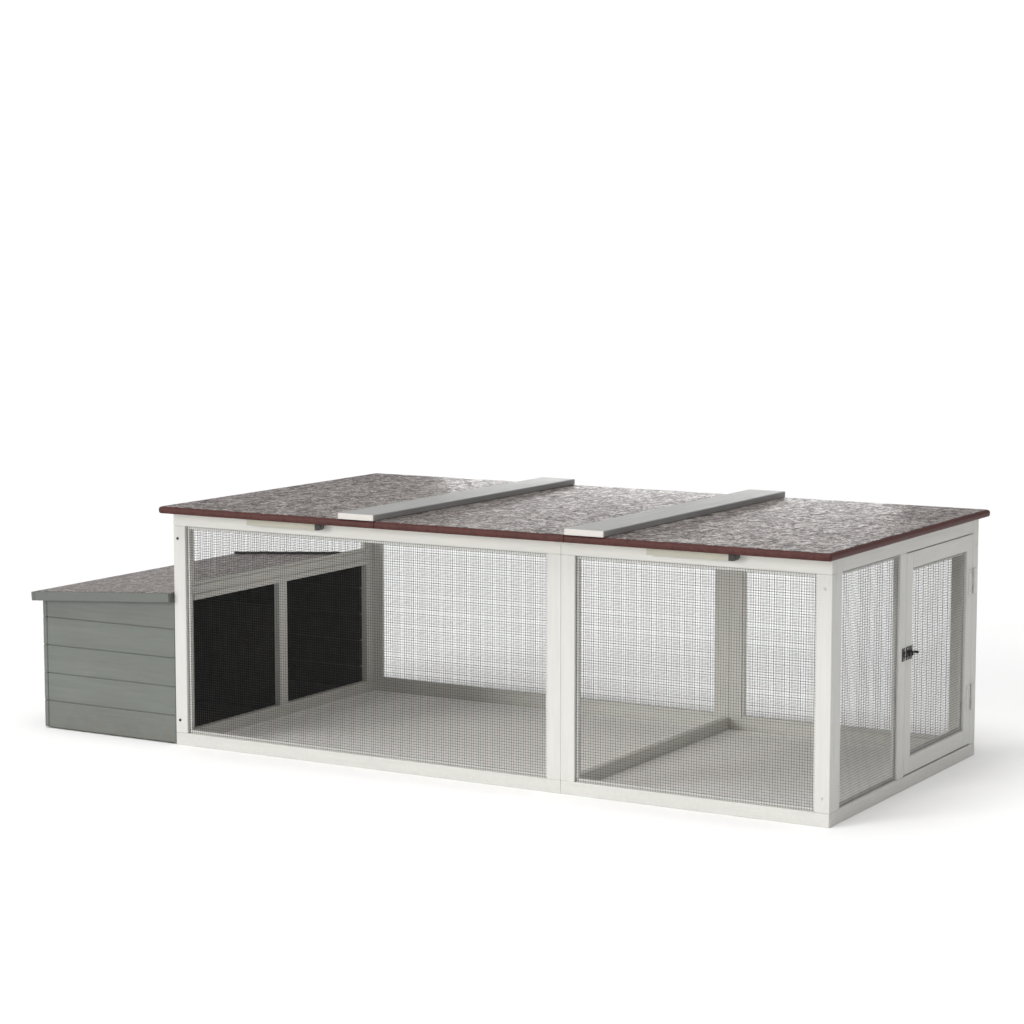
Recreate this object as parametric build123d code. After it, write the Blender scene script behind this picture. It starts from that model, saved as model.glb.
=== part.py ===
"""Low chicken coop: a mesh-sided run with a flat felted roof and a nest box on its left end.

Millimetres, +Z up, +X to the right along the front, +Y towards the back.
Everything is laid out from the run's front-left bottom corner, and shifted on export so that
the origin is at the centre of the coop's footprint, on the ground.
"""
import math
import os

from build123d import *

# ---- driving dimensions -------------------------------------------------------------------
RUN_LENGTH = 1763.0        # along the front, outside the frames
RUN_DEPTH = 888.0          # front to back, outside the frames
WALL_HEIGHT = 587.0        # ground to the underside of the roof

BOARD = 18.0               # thickness of every frame board
RAIL = 36.0                # width of stiles and top rails
BOTTOM_RAIL = 31.0         # width of the bottom rails
EDGE = 1.2                 # planed-off corner of the frame boards

FRONT_SEAM = 1100.0        # where the two front panels meet
BACK_SEAM = 1107.0         # where the two back panels meet

MESH_SHEET = 0.6           # thickness that stands for the welded wire
MESH_BACK = 7.0            # mesh plane, in from a frame's outer face
BEAD = 8.0                 # square bead that holds the mesh in

ROOF_SIDE = 14.5           # overhang past the end walls
ROOF_EAVES = 42.0          # overhang past the front and back
DECK = 11.8                # roof boards
FELT = 2.8                 # roof felt
EDGE_TRIM = 8.0            # thickness of the strip round a roof panel
TRIM_ROUND = 6.5           # rounding of its outer edges
TRIM_DROP = 3.0            # it hangs this far below the roof boards
TRIM_BELOW_FELT = 1.0      # and stops this far below the felt's top
PANEL_GAP = 1.6            # gap between two roof panels
LEFT_LID_END = 621.2       # right side of the left roof lid
RIGHT_LID_START = 1129.7   # left side of the right roof lid
BATTEN_WIDTH = 101.0
BATTEN_THICK = 15.0

NEST_LENGTH = 426.0        # nest box, out from the run's left end
NEST_DEPTH = 838.0
NEST_FOOT = 3.0            # the nest box hangs this far clear of the ground
NEST_WALL = 14.0
NEST_BOARD = 72.6          # height of one cladding board
NEST_BOTTOM_BOARD = 69.3   # height of the lowest one
NEST_BOARDS = 5
NEST_LID_SLOPE = 3.6       # degrees, down away from the run
NEST_LID_HIGH = 362.5      # underside of the lid at the run
NEST_LID_DECK = 18.0
NEST_LID_FELT = 3.0
NEST_LID_OVERHANG = 20.0   # past the nest box's front and outer end
NEST_LID_BEHIND = 16.0     # past its back
NEST_LID_LIP = 23.5        # height of the board round the lid
NEST_LID_GAP = 0.4         # lid to the tops of the nest walls

POP_HOLE_TOP = 358.0
POP_HEADER = 14.0          # height of the strip along the rail over the pop holes
POP_HEADER_THICK = 4.0
POP_POST_START = 421.0     # the post between the two pop holes

DOOR_POST = 388.0          # front edge of the fixed stile that the door closes against
DOOR_GAP = 2.0
DOOR_GAP_BELOW = 4.0
DOOR_RAIL = 38.0

TIE_HEIGHT = 31.0

# ---- hinges, bolt and props -----------------------------------------------------------------
HINGE_PIN = 1.5            # pin radius
HINGE_BORE = 1.55
HINGE_BARREL = 3.5
HINGE_LEAF = 1.5           # leaf thickness
HINGE_LIFT = 4.0           # pin centre above the face that a leaf is screwed to
HINGE_LENGTH = 60.0
HINGE_REACH = 26.0         # width of a leaf
HINGE_SIDE_GAP = 0.3       # between neighbouring knuckles
HINGE_SWEEP = 4.4          # room in a leaf round the other leaf's knuckle
PIN_HEAD = 2.6
PIN_HEAD_THICK = 1.2

BOLT_HEIGHT = 318.0        # height of the bolt above the ground
BOLT_RADIUS = 3.0
BOLT_BORE = 3.06
KEEPER_BORE = 4.0
BOLT_STANDOFF = 5.5        # bolt centre out from the door's face
BOLT_TRAVEL = 14.0

PROP_WIDTH = 19.0
PROP_THICK = 13.0
PROP_LENGTH = 214.0        # far end to pivot
PROP_DROP = 10.5           # pivot below the roof lid
PROP_CLEAR = 3.0           # stick to the front rail
PROP_PIN = 2.5
PROP_BORE = 2.56
PROP_PLATE = 1.5
LEFT_PROP_PIVOT = 450.0
RIGHT_PROP_PIVOT = 1539.0

# ---- values that follow ---------------------------------------------------------------------
ROOF_TOP = WALL_HEIGHT + DECK + FELT
TOP_RAIL_LOW = WALL_HEIGHT - RAIL
BACK_FACE = RUN_DEPTH - BOARD
ROOF_FRONT = -ROOF_EAVES
ROOF_BACK = RUN_DEPTH + ROOF_EAVES
DOOR_SHUT = DOOR_POST + RAIL + DOOR_GAP
DOOR_HUNG = RUN_DEPTH - RAIL - DOOR_GAP
NEST_SLOPE = math.tan(math.radians(NEST_LID_SLOPE))
NEST_LID_LEFT = -NEST_LENGTH - NEST_LID_OVERHANG
NEST_LID_RIGHT = -2.0
NEST_LID_BACK = NEST_DEPTH + NEST_LID_BEHIND
BOLT_OUT = RUN_LENGTH + BOLT_STANDOFF
FOOTPRINT_LEFT = NEST_LID_LEFT
FOOTPRINT_RIGHT = BOLT_OUT + BOLT_RADIUS + 7.0
CENTRE_X = (FOOTPRINT_LEFT + FOOTPRINT_RIGHT) / 2
CENTRE_Y = RUN_DEPTH / 2

OUT = "parts"
os.makedirs(OUT, exist_ok=True)


def save(name, solids):
    """Write one node: its separate solids, moved so the origin is under the coop's middle."""
    group = Compound(children=[solid.moved(Location((-CENTRE_X, -CENTRE_Y, 0))) for solid in solids])
    export_step(group, os.path.join(OUT, name + ".step"))


def block(x, y, z, edge=0.0):
    """A box between the pairs x, y and z, with its edges planed off by edge."""
    box = Box(x[1] - x[0], y[1] - y[0], z[1] - z[0])
    if edge:
        box = chamfer(box.edges(), edge)
    middle = ((x[0] + x[1]) / 2, (y[0] + y[1]) / 2, (z[0] + z[1]) / 2)
    return box.moved(Location(middle))


def rod(start, direction, radius, length):
    """A round bar from the point start."""
    plane = Plane(origin=start, z_dir=direction)
    return plane * Cylinder(radius, length, align=(Align.CENTER, Align.CENTER, Align.MIN))


def frame_board(x, y, z):
    return block(x, y, z, EDGE)


# ---- run: front and back frames -------------------------------------------------------------
def long_frame(y, panels):
    """Stiles and rails of the panels side by side in one long wall; rails run past the stiles."""
    stiles = []
    rails = []
    for start, end in panels:
        rails.append(frame_board((start, end), y, (TOP_RAIL_LOW, WALL_HEIGHT)))
        rails.append(frame_board((start, end), y, (0, BOTTOM_RAIL)))
        for left in (start, end - RAIL):
            stiles.append(frame_board((left, left + RAIL), y, (BOTTOM_RAIL, TOP_RAIL_LOW)))
    return stiles, rails


def beads_xz(x, y, z):
    """Four beads round an opening in a wall that faces front or back."""
    return [
        block(x, y, (z[1] - BEAD, z[1]), 1.0),
        block(x, y, (z[0], z[0] + BEAD), 1.0),
        block((x[0], x[0] + BEAD), y, (z[0] + BEAD, z[1] - BEAD), 1.0),
        block((x[1] - BEAD, x[1]), y, (z[0] + BEAD, z[1] - BEAD), 1.0),
    ]


def beads_yz(x, y, z):
    """Four beads round an opening in an end wall."""
    return [
        block(x, y, (z[1] - BEAD, z[1]), 1.0),
        block(x, y, (z[0], z[0] + BEAD), 1.0),
        block(x, (y[0], y[0] + BEAD), (z[0] + BEAD, z[1] - BEAD), 1.0),
        block(x, (y[1] - BEAD, y[1]), (z[0] + BEAD, z[1] - BEAD), 1.0),
    ]


front_panels = [(0, FRONT_SEAM), (FRONT_SEAM, RUN_LENGTH)]
back_panels = [(0, BACK_SEAM), (BACK_SEAM, RUN_LENGTH - BOARD)]
opening_z = (BOTTOM_RAIL, TOP_RAIL_LOW)

front_stiles, front_rails = long_frame((0, BOARD), front_panels)
back_stiles, back_rails = long_frame((BACK_FACE, RUN_DEPTH), back_panels)
save("front_stiles", front_stiles)
save("front_rails", front_rails)
save("back_stiles", back_stiles)
save("back_rails", back_rails)

front_mesh = []
back_mesh = []
long_beads = []
for start, end in front_panels:
    opening_x = (start + RAIL, end - RAIL)
    front_mesh.append(block(opening_x, (MESH_BACK, MESH_BACK + MESH_SHEET), opening_z))
    bead_y = (MESH_BACK + MESH_SHEET, MESH_BACK + MESH_SHEET + BEAD)
    long_beads += beads_xz(opening_x, bead_y, opening_z)
for start, end in back_panels:
    opening_x = (start + RAIL, end - RAIL)
    mesh_y = RUN_DEPTH - MESH_BACK
    back_mesh.append(block(opening_x, (mesh_y - MESH_SHEET, mesh_y), opening_z))
    bead_y = (mesh_y - MESH_SHEET - BEAD, mesh_y - MESH_SHEET)
    long_beads += beads_xz(opening_x, bead_y, opening_z)
save("front_mesh", front_mesh)
save("back_mesh", back_mesh)
save("long_wall_beads", long_beads)

# ---- run: left end, with the two pop holes into the nest box ----------------------------------
left_x = (0, BOARD)
left_inner = (BOARD + RAIL, BACK_FACE - RAIL)
upper_low = POP_HOLE_TOP + RAIL
save("left_end_stiles", [
    frame_board(left_x, (BOARD, BOARD + RAIL), (BOTTOM_RAIL, WALL_HEIGHT)),
    frame_board(left_x, (BACK_FACE - RAIL, BACK_FACE), (BOTTOM_RAIL, WALL_HEIGHT)),
    frame_board(left_x, (POP_POST_START, POP_POST_START + RAIL), (BOTTOM_RAIL, POP_HOLE_TOP)),
])
save("left_end_rails", [
    frame_board(left_x, left_inner, (TOP_RAIL_LOW, WALL_HEIGHT)),
    frame_board(left_x, left_inner, (POP_HOLE_TOP, upper_low)),
    frame_board(left_x, (BOARD, BACK_FACE), (0, BOTTOM_RAIL)),
])
header_x = (BOARD, BOARD + POP_HEADER_THICK)
header_z = (POP_HOLE_TOP, POP_HOLE_TOP + POP_HEADER)
save("pop_hole_header", [block(header_x, left_inner, header_z, 0.8)])
upper_z = (upper_low, TOP_RAIL_LOW)
save("left_end_mesh", [block((MESH_BACK, MESH_BACK + MESH_SHEET), left_inner, upper_z)])

# ---- run: right end, with the door -------------------------------------------------------------
right_x = (RUN_LENGTH - BOARD, RUN_LENGTH)
right_inner = (BOARD + RAIL, RUN_DEPTH - RAIL)
save("right_end_stiles", [
    frame_board(right_x, (BOARD, BOARD + RAIL), (BOTTOM_RAIL, WALL_HEIGHT)),
    frame_board(right_x, (DOOR_POST, DOOR_POST + RAIL), (BOTTOM_RAIL, TOP_RAIL_LOW)),
    frame_board(right_x, (RUN_DEPTH - RAIL, RUN_DEPTH), (BOTTOM_RAIL, WALL_HEIGHT)),
])
save("right_end_rails", [
    frame_board(right_x, right_inner, (TOP_RAIL_LOW, WALL_HEIGHT)),
    frame_board(right_x, (BOARD, RUN_DEPTH), (0, BOTTOM_RAIL)),
])
fixed_y = (BOARD + RAIL, DOOR_POST)
mesh_x = RUN_LENGTH - MESH_BACK
save("right_end_mesh", [block((mesh_x - MESH_SHEET, mesh_x), fixed_y, opening_z)])
end_beads = beads_yz((MESH_BACK + MESH_SHEET, MESH_BACK + MESH_SHEET + BEAD), left_inner, upper_z)
end_beads += beads_yz((mesh_x - MESH_SHEET - BEAD, mesh_x - MESH_SHEET), fixed_y, opening_z)
save("end_wall_beads", end_beads)

# ---- run: floor tie and roof bearers -------------------------------------------------------------
inside_y = (BOARD, BACK_FACE)
tie_x = (FRONT_SEAM - BOARD / 2, FRONT_SEAM + BOARD / 2)
save("floor_tie", [frame_board(tie_x, inside_y, (0, TIE_HEIGHT))])
bearers = []
for seam in (LEFT_LID_END, RIGHT_LID_START):
    bearer_x = (seam - RAIL / 2, seam + RAIL / 2)
    bearers.append(frame_board(bearer_x, inside_y, (WALL_HEIGHT - BOARD, WALL_HEIGHT)))
save("roof_bearers", bearers)


# ---- roof panels ------------------------------------------------------------------------------------
def trim_strip(x, y, z, outside):
    """A strip along one side of a roof panel, rounded off on its outer sides.

    outside lists each outer side as an axis and the place where that side lies.
    """
    strip = block(x, y, z)
    level = strip.edges().filter_by(Axis.Z, reverse=True)
    rounded = ShapeList()
    for axis, place in outside:
        rounded += level.filter_by_position(axis, place - 0.1, place + 0.1)
    if len(outside) > 1:
        corner = strip.edges().filter_by(Axis.Z)
        for axis, place in outside:
            corner = corner.filter_by_position(axis, place - 0.1, place + 0.1)
        rounded += corner
    return fillet(rounded, TRIM_ROUND)


def roof_panel(prefix, x, left_trim, right_trim):
    """A deck with its felt and edge strips; the strips go on the sides that stay uncovered."""
    inner_left = x[0] + (EDGE_TRIM if left_trim else 0)
    inner_right = x[1] - (EDGE_TRIM if right_trim else 0)
    inner_x = (inner_left, inner_right)
    inner_y = (ROOF_FRONT + EDGE_TRIM, ROOF_BACK - EDGE_TRIM)
    save(prefix + "_deck", [block(inner_x, inner_y, (WALL_HEIGHT, WALL_HEIGHT + DECK))])
    save(prefix + "_felt", [block(inner_x, inner_y, (WALL_HEIGHT + DECK, ROOF_TOP))])
    strip_z = (WALL_HEIGHT - TRIM_DROP, ROOF_TOP - TRIM_BELOW_FELT)
    end_sides = []
    if left_trim:
        end_sides.append((Axis.X, x[0]))
    if right_trim:
        end_sides.append((Axis.X, x[1]))
    front_sides = end_sides + [(Axis.Y, ROOF_FRONT)]
    back_sides = end_sides + [(Axis.Y, ROOF_BACK)]
    strips = [
        trim_strip(x, (ROOF_FRONT, inner_y[0]), strip_z, front_sides),
        trim_strip(x, (inner_y[1], ROOF_BACK), strip_z, back_sides),
    ]
    if left_trim:
        strips.append(trim_strip((x[0], inner_left), inner_y, strip_z, end_sides))
    if right_trim:
        strips.append(trim_strip((inner_right, x[1]), inner_y, strip_z, end_sides))
    save(prefix + "_edge_strips", strips)


def batten(name, x):
    save(name, [block(x, (ROOF_FRONT, ROOF_BACK), (ROOF_TOP, ROOF_TOP + BATTEN_THICK), 1.5)])


left_lid_x = (-ROOF_SIDE, LEFT_LID_END - PANEL_GAP / 2)
right_lid_x = (RIGHT_LID_START + PANEL_GAP / 2, RUN_LENGTH + ROOF_SIDE)
roof_panel("left_lid", left_lid_x, True, False)
roof_panel("middle_roof", (LEFT_LID_END + PANEL_GAP / 2, RIGHT_LID_START - PANEL_GAP / 2), False, False)
roof_panel("right_lid", right_lid_x, False, True)
batten("left_batten", (left_lid_x[1] - BATTEN_WIDTH, left_lid_x[1]))
batten("right_batten", (right_lid_x[0], right_lid_x[0] + BATTEN_WIDTH))


# ---- butt hinge ----------------------------------------------------------------------------------------
def hinge_leaf(outer_knuckles, flip=False, turn=0.0):
    """One leaf about a pin along X: its screwed face is HINGE_LIFT below the pin and it reaches to +Y.

    outer_knuckles gives it the two end knuckles, otherwise it has the middle one. flip puts the
    screwed face above the pin, and turn swings the whole leaf about the pin, in degrees.
    """
    third = HINGE_LENGTH / 3
    middle = (-third / 2, third / 2)
    ends = [(-HINGE_LENGTH / 2, -third / 2), (third / 2, HINGE_LENGTH / 2)]
    own = ends if outer_knuckles else [middle]
    other = [middle] if outer_knuckles else ends
    leaf = block((-HINGE_LENGTH / 2, HINGE_LENGTH / 2), (0, HINGE_REACH), (-HINGE_LIFT, -HINGE_LIFT + HINGE_LEAF))
    for low, high in other:
        leaf -= block(
            (low - HINGE_SIDE_GAP, high + HINGE_SIDE_GAP),
            (-HINGE_SWEEP, HINGE_SWEEP),
            (-HINGE_SWEEP, HINGE_SWEEP),
        )
    for low, high in own:
        near = low + (HINGE_SIDE_GAP if low > -HINGE_LENGTH / 2 else 0)
        far = high - (HINGE_SIDE_GAP if high < HINGE_LENGTH / 2 else 0)
        leaf += rod((near, 0, 0), (1, 0, 0), HINGE_BARREL, far - near)
    leaf -= rod((-HINGE_LENGTH, 0, 0), (1, 0, 0), HINGE_BORE, 2 * HINGE_LENGTH)
    if flip:
        leaf = leaf.mirror(Plane.XY)
    return Rot(turn, 0, 0) * leaf


def hinge_pin():
    """A pin with a small head at each end."""
    half = HINGE_LENGTH / 2
    pin = rod((-half, 0, 0), (1, 0, 0), HINGE_PIN, 2 * half)
    pin += rod((half, 0, 0), (1, 0, 0), PIN_HEAD, PIN_HEAD_THICK)
    pin += rod((-half - PIN_HEAD_THICK, 0, 0), (1, 0, 0), PIN_HEAD, PIN_HEAD_THICK)
    return pin


# roof lids: pins behind the back rail and under the overhang
ROOF_PIN_Y = RUN_DEPTH + HINGE_LIFT
ROOF_PIN_Z = WALL_HEIGHT - HINGE_LIFT
roof_fixed_leaves = []
roof_pins = []
for lid, lid_x in (("left", left_lid_x), ("right", right_lid_x)):
    lid_leaves = []
    for share in (0.2, 0.8):
        hinge_x = lid_x[0] + share * (lid_x[1] - lid_x[0])
        place = Pos(hinge_x, ROOF_PIN_Y, ROOF_PIN_Z)
        roof_fixed_leaves.append(place * hinge_leaf(True, turn=-90))
        roof_pins.append(place * hinge_pin())
        lid_leaves.append(place * hinge_leaf(False, flip=True))
    save(lid + "_lid_hinge_leaves", lid_leaves)
save("roof_hinge_fixed_leaves", roof_fixed_leaves)
save("roof_hinge_pins", roof_pins)

# ---- door ---------------------------------------------------------------------------------------------------
door_z = (BOTTOM_RAIL + DOOR_GAP_BELOW, TOP_RAIL_LOW - DOOR_GAP)
door_inner_y = (DOOR_SHUT + DOOR_RAIL, DOOR_HUNG - DOOR_RAIL)
door_inner_z = (door_z[0] + DOOR_RAIL, door_z[1] - DOOR_RAIL)
save("door_stiles", [
    frame_board(right_x, (DOOR_SHUT, DOOR_SHUT + DOOR_RAIL), door_z),
    frame_board(right_x, (DOOR_HUNG - DOOR_RAIL, DOOR_HUNG), door_z),
])
save("door_rails", [
    frame_board(right_x, door_inner_y, (door_inner_z[1], door_z[1])),
    frame_board(right_x, door_inner_y, (door_z[0], door_inner_z[0])),
])
save("door_mesh", [block((mesh_x - MESH_SHEET, mesh_x), door_inner_y, door_inner_z)])
save("door_beads", beads_yz((mesh_x - MESH_SHEET - BEAD, mesh_x - MESH_SHEET), door_inner_y, door_inner_z))

door_pin_y = RUN_DEPTH - RAIL - DOOR_GAP / 2
upright = Rot(0, -90, 0) * Rot(180, 0, 0)
door_fixed_leaves = []
door_leaves = []
door_pins = []
for height in (150.0, 434.0):
    place = Pos(RUN_LENGTH + HINGE_LIFT, door_pin_y, height) * upright
    door_leaves.append(place * hinge_leaf(False))
    door_fixed_leaves.append(place * Rot(0, 0, 180) * hinge_leaf(True))
    door_pins.append(place * hinge_pin())
save("door_hinge_leaves", door_leaves)
save("door_hinge_fixed_leaves", door_fixed_leaves)
save("door_hinge_pins", door_pins)

# ---- door bolt, drawn back so that the door is free -------------------------------------------------------------
BOLT_PLATE = 1.5
BOLT_PLATE_HALF = 15.0
GUIDE_HALF = 5.0
GUIDE_WIDTH = 4.0
guide_out = (RUN_LENGTH + BOLT_PLATE, BOLT_OUT + GUIDE_HALF)
guide_z = (BOLT_HEIGHT - GUIDE_HALF, BOLT_HEIGHT + GUIDE_HALF)
plate_z = (BOLT_HEIGHT - BOLT_PLATE_HALF, BOLT_HEIGHT + BOLT_PLATE_HALF)
bolt_tip = DOOR_SHUT + 1.5
bolt_tail = bolt_tip + 41.0


def bolt_fitting(plate_y, guides, bore):
    """A flat plate with square guides, bored for the bolt."""
    fitting = block((RUN_LENGTH, RUN_LENGTH + BOLT_PLATE), plate_y, plate_z)
    for guide in guides:
        fitting += block(guide_out, (guide, guide + GUIDE_WIDTH), guide_z)
    return fitting - rod((BOLT_OUT, plate_y[0] - 1, BOLT_HEIGHT), (0, 1, 0), bore, 100)


save("bolt_plate", [bolt_fitting((bolt_tip, bolt_tip + 36), (bolt_tip + 1.5, bolt_tip + 17), BOLT_BORE)])
save("bolt_keeper", [bolt_fitting((DOOR_POST + 15, DOOR_POST + 31), (DOOR_POST + 22.5,), KEEPER_BORE)])
door_bolt = rod((BOLT_OUT, bolt_tip, BOLT_HEIGHT), (0, 1, 0), BOLT_RADIUS, bolt_tail - bolt_tip)
knob = rod((BOLT_OUT, bolt_tail - BOLT_RADIUS, BOLT_HEIGHT), (1, 0, 0), BOLT_RADIUS, 10)
save("door_bolt", [door_bolt + knob])


# ---- prop sticks under the roof lids -------------------------------------------------------------------------------
def prop(prefix, pivot_x):
    """A stick hung on a rivet from an angle plate screwed under the front overhang."""
    pivot_z = WALL_HEIGHT - PROP_DROP
    stick_y = (-PROP_CLEAR - PROP_THICK, -PROP_CLEAR)
    half = PROP_WIDTH / 2
    stick = block((pivot_x - PROP_LENGTH, pivot_x), stick_y, (pivot_z - half, pivot_z + half))
    stick += rod((pivot_x, stick_y[0], pivot_z), (0, 1, 0), half, PROP_THICK)
    stick -= rod((pivot_x, stick_y[0] - 1, pivot_z), (0, 1, 0), PROP_BORE, PROP_THICK + 2)
    save(prefix + "_prop_stick", [stick])
    plate_back = stick_y[0] - 0.4
    plate_y = (plate_back - PROP_PLATE, plate_back)
    bracket_x = (pivot_x - 13, pivot_x + 14)
    outline = Plane.XZ * make_face(Polyline(
        (bracket_x[0], WALL_HEIGHT),
        (bracket_x[0], pivot_z - half),
        (pivot_x - 3, pivot_z - half),
        (bracket_x[1] - 3, pivot_z - half + 4),
        (bracket_x[1], pivot_z - half + 8),
        (bracket_x[1], WALL_HEIGHT),
        close=True,
    ))
    bracket = extrude(outline, PROP_PLATE)
    bracket = bracket.moved(Location((0, plate_y[1] - bracket.bounding_box().max.Y, 0)))
    bracket += block(bracket_x, (plate_y[0] - 14, plate_back), (WALL_HEIGHT - PROP_PLATE, WALL_HEIGHT))
    bracket += rod((pivot_x, plate_back, pivot_z), (0, 1, 0), PROP_PIN, PROP_THICK + 0.8)
    bracket += rod((pivot_x, plate_y[0] - 1.4, pivot_z), (0, 1, 0), 4.5, 1.6)
    save(prefix + "_prop_bracket", [bracket])


prop("left", LEFT_PROP_PIVOT)
prop("right", RIGHT_PROP_PIVOT)


# ---- nest box ---------------------------------------------------------------------------------------------------------
def lid_under(x):
    """Height of the nest lid's underside at x."""
    return NEST_LID_HIGH + NEST_SLOPE * x


def clad_board(x, y, z, slope_top, groove=2.2):
    """One cladding board; a sloping top edge follows the lid."""
    if not slope_top:
        return chamfer(block(x, y, z).edges(), groove)
    corners = [
        (x[0], z[0]),
        (x[1], z[0]),
        (x[1], lid_under(x[1]) - NEST_LID_GAP),
        (x[0], lid_under(x[0]) - NEST_LID_GAP),
    ]
    face = Plane.XZ * make_face(Polyline(*corners, close=True))
    board = extrude(face, y[1] - y[0])
    board = board.moved(Location((0, y[1] - board.bounding_box().max.Y, 0)))
    return chamfer(board.edges(), groove)


def clad_wall(x, y, follow_slope):
    """A wall of boards one above the other, up to the lid."""
    boards = []
    for row in range(NEST_BOARDS):
        high = NEST_FOOT + NEST_BOTTOM_BOARD + row * NEST_BOARD
        low = high - NEST_BOARD if row else NEST_FOOT
        top_row = row == NEST_BOARDS - 1
        if top_row and not follow_slope:
            high = lid_under(x[0]) - NEST_LID_GAP
        boards.append(clad_board(x, y, (low, high), top_row and follow_slope))
    return boards


nest_x = (-NEST_LENGTH + NEST_WALL, 0)
save("nest_front_boards", clad_wall(nest_x, (0, NEST_WALL), True))
save("nest_back_boards", clad_wall(nest_x, (NEST_DEPTH - NEST_WALL, NEST_DEPTH), True))
save("nest_end_boards", clad_wall((-NEST_LENGTH, nest_x[0]), (0, NEST_DEPTH), False))

NEST_POST = 28.0
NEST_FLOOR = 9.0
post_top = lid_under(-NEST_LENGTH) - 4
nest_posts = []
for post_y in (NEST_WALL, NEST_DEPTH - NEST_WALL - NEST_POST):
    nest_posts.append(frame_board(
        (nest_x[0], nest_x[0] + NEST_POST),
        (post_y, post_y + NEST_POST),
        (NEST_FOOT + NEST_FLOOR, post_top),
    ))
save("nest_corner_posts", nest_posts)
nest_inside_y = (NEST_WALL, NEST_DEPTH - NEST_WALL)
save("nest_floor", [block(nest_x, nest_inside_y, (NEST_FOOT, NEST_FOOT + NEST_FLOOR))])
divider_y = (POP_POST_START + RAIL / 2 - 5, POP_POST_START + RAIL / 2 + 5)
save("nest_divider", [block(nest_x, divider_y, (NEST_FOOT + NEST_FLOOR, post_top - 40), 1.0)])

# ---- nest lid: built level with its hinge edge at the run, then tilted ---------------------------------------------------
tilt = Pos(0, 0, NEST_LID_HIGH) * Rot(0, -NEST_LID_SLOPE, 0)
lid_x = (NEST_LID_LEFT, NEST_LID_RIGHT)
lid_y = (-NEST_LID_OVERHANG, NEST_LID_BACK)
LIP = 10.0
lip_in_x = (lid_x[0] + LIP, lid_x[1])
lip_in_y = (lid_y[0] + LIP, lid_y[1] - LIP)
lid_top = NEST_LID_DECK + NEST_LID_FELT
lip_z = (lid_top - NEST_LID_LIP, lid_top - 1.0)
STRIP_HIGH = 7.0
STRIP_WIDE = 10.0
save("nest_lid_deck", [tilt * block(lip_in_x, lip_in_y, (0, NEST_LID_DECK))])
save("nest_lid_felt", [tilt * block(lip_in_x, lip_in_y, (NEST_LID_DECK, lid_top))])
save("nest_lid_edge_boards", [
    tilt * block((lid_x[0], lip_in_x[0]), lid_y, lip_z, EDGE),
    tilt * block(lip_in_x, (lid_y[0], lip_in_y[0]), lip_z, EDGE),
    tilt * block(lip_in_x, (lip_in_y[1], lid_y[1]), lip_z, EDGE),
])
strip_x = (lid_x[0] + 12, lid_x[1] - 14)
strip_y = (lip_in_y[1] - STRIP_WIDE, lip_in_y[1])
save("nest_lid_back_strip", [tilt * block(strip_x, strip_y, (lid_top, lid_top + STRIP_HIGH), 1.0)])

nest_pin_x = -HINGE_LIFT
nest_pin_z = NEST_LID_HIGH + NEST_SLOPE * nest_pin_x
nest_pin_z += (lid_top + HINGE_LIFT) / math.cos(math.radians(NEST_LID_SLOPE))
nest_fixed_leaves = []
nest_leaves = []
nest_pins = []
for hinge_y in (170.0, 664.0):
    place = Pos(nest_pin_x, hinge_y, nest_pin_z) * Rot(0, 0, 90)
    nest_fixed_leaves.append(place * hinge_leaf(True, turn=-90))
    nest_leaves.append(place * hinge_leaf(False, turn=-NEST_LID_SLOPE))
    nest_pins.append(place * hinge_pin())
save("nest_hinge_fixed_leaves", nest_fixed_leaves)
save("nest_lid_hinge_leaves", nest_leaves)
save("nest_hinge_pins", nest_pins)

# ---- screws in the run's frames ----------------------------------------------------------------------------------------------
SCREW_HEAD = 3.6
SCREW_PROUD = 0.8
screws = []
for screw_x in (13.0, RUN_LENGTH - 18):
    for screw_z in (63.0, 519.0):
        screws.append(rod((screw_x, 0, screw_z), (0, -1, 0), SCREW_HEAD, SCREW_PROUD))
for screw_z in (63.0, 519.0):
    screws.append(rod((13.0, RUN_DEPTH, screw_z), (0, 1, 0), SCREW_HEAD, SCREW_PROUD))
    screws.append(rod((RUN_LENGTH, RUN_DEPTH - 9, screw_z), (1, 0, 0), SCREW_HEAD, SCREW_PROUD))
save("frame_screws", screws)
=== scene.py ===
import math
import random

import bmesh
import bpy
from mathutils import Matrix, Vector, noise


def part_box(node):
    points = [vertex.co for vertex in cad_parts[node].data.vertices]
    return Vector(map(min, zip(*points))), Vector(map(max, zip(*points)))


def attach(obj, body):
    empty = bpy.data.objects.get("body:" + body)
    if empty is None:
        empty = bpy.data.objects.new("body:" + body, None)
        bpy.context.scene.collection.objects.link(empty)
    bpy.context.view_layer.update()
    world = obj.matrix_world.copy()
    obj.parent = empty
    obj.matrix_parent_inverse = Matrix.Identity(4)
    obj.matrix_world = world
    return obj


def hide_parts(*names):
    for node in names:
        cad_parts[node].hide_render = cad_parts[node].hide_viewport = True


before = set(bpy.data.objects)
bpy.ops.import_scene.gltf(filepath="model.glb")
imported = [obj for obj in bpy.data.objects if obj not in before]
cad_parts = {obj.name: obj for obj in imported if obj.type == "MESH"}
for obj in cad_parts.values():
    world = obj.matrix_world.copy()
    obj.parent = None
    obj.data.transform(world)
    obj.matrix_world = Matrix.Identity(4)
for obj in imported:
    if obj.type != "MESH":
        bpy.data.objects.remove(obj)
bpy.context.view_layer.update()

# Lengths are in metres.
WIRE_PITCH = 0.00635       # from wire to wire, both ways
WIRE_RADIUS = 0.00033
WIRE_SIDES = 6
WIRE_LAYER = 0.8           # how far each layer is from the sheet's middle, in wire radii
WIRE_TUCK = 0.006          # how far a wire's end goes under the timber
WIRE_WAVER = 0.0003        # how far a sheet of wire is from flat
WIRE_BENDS = 5             # places along a wire where it can bend
WAVER_SCALE = 9.0
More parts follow.
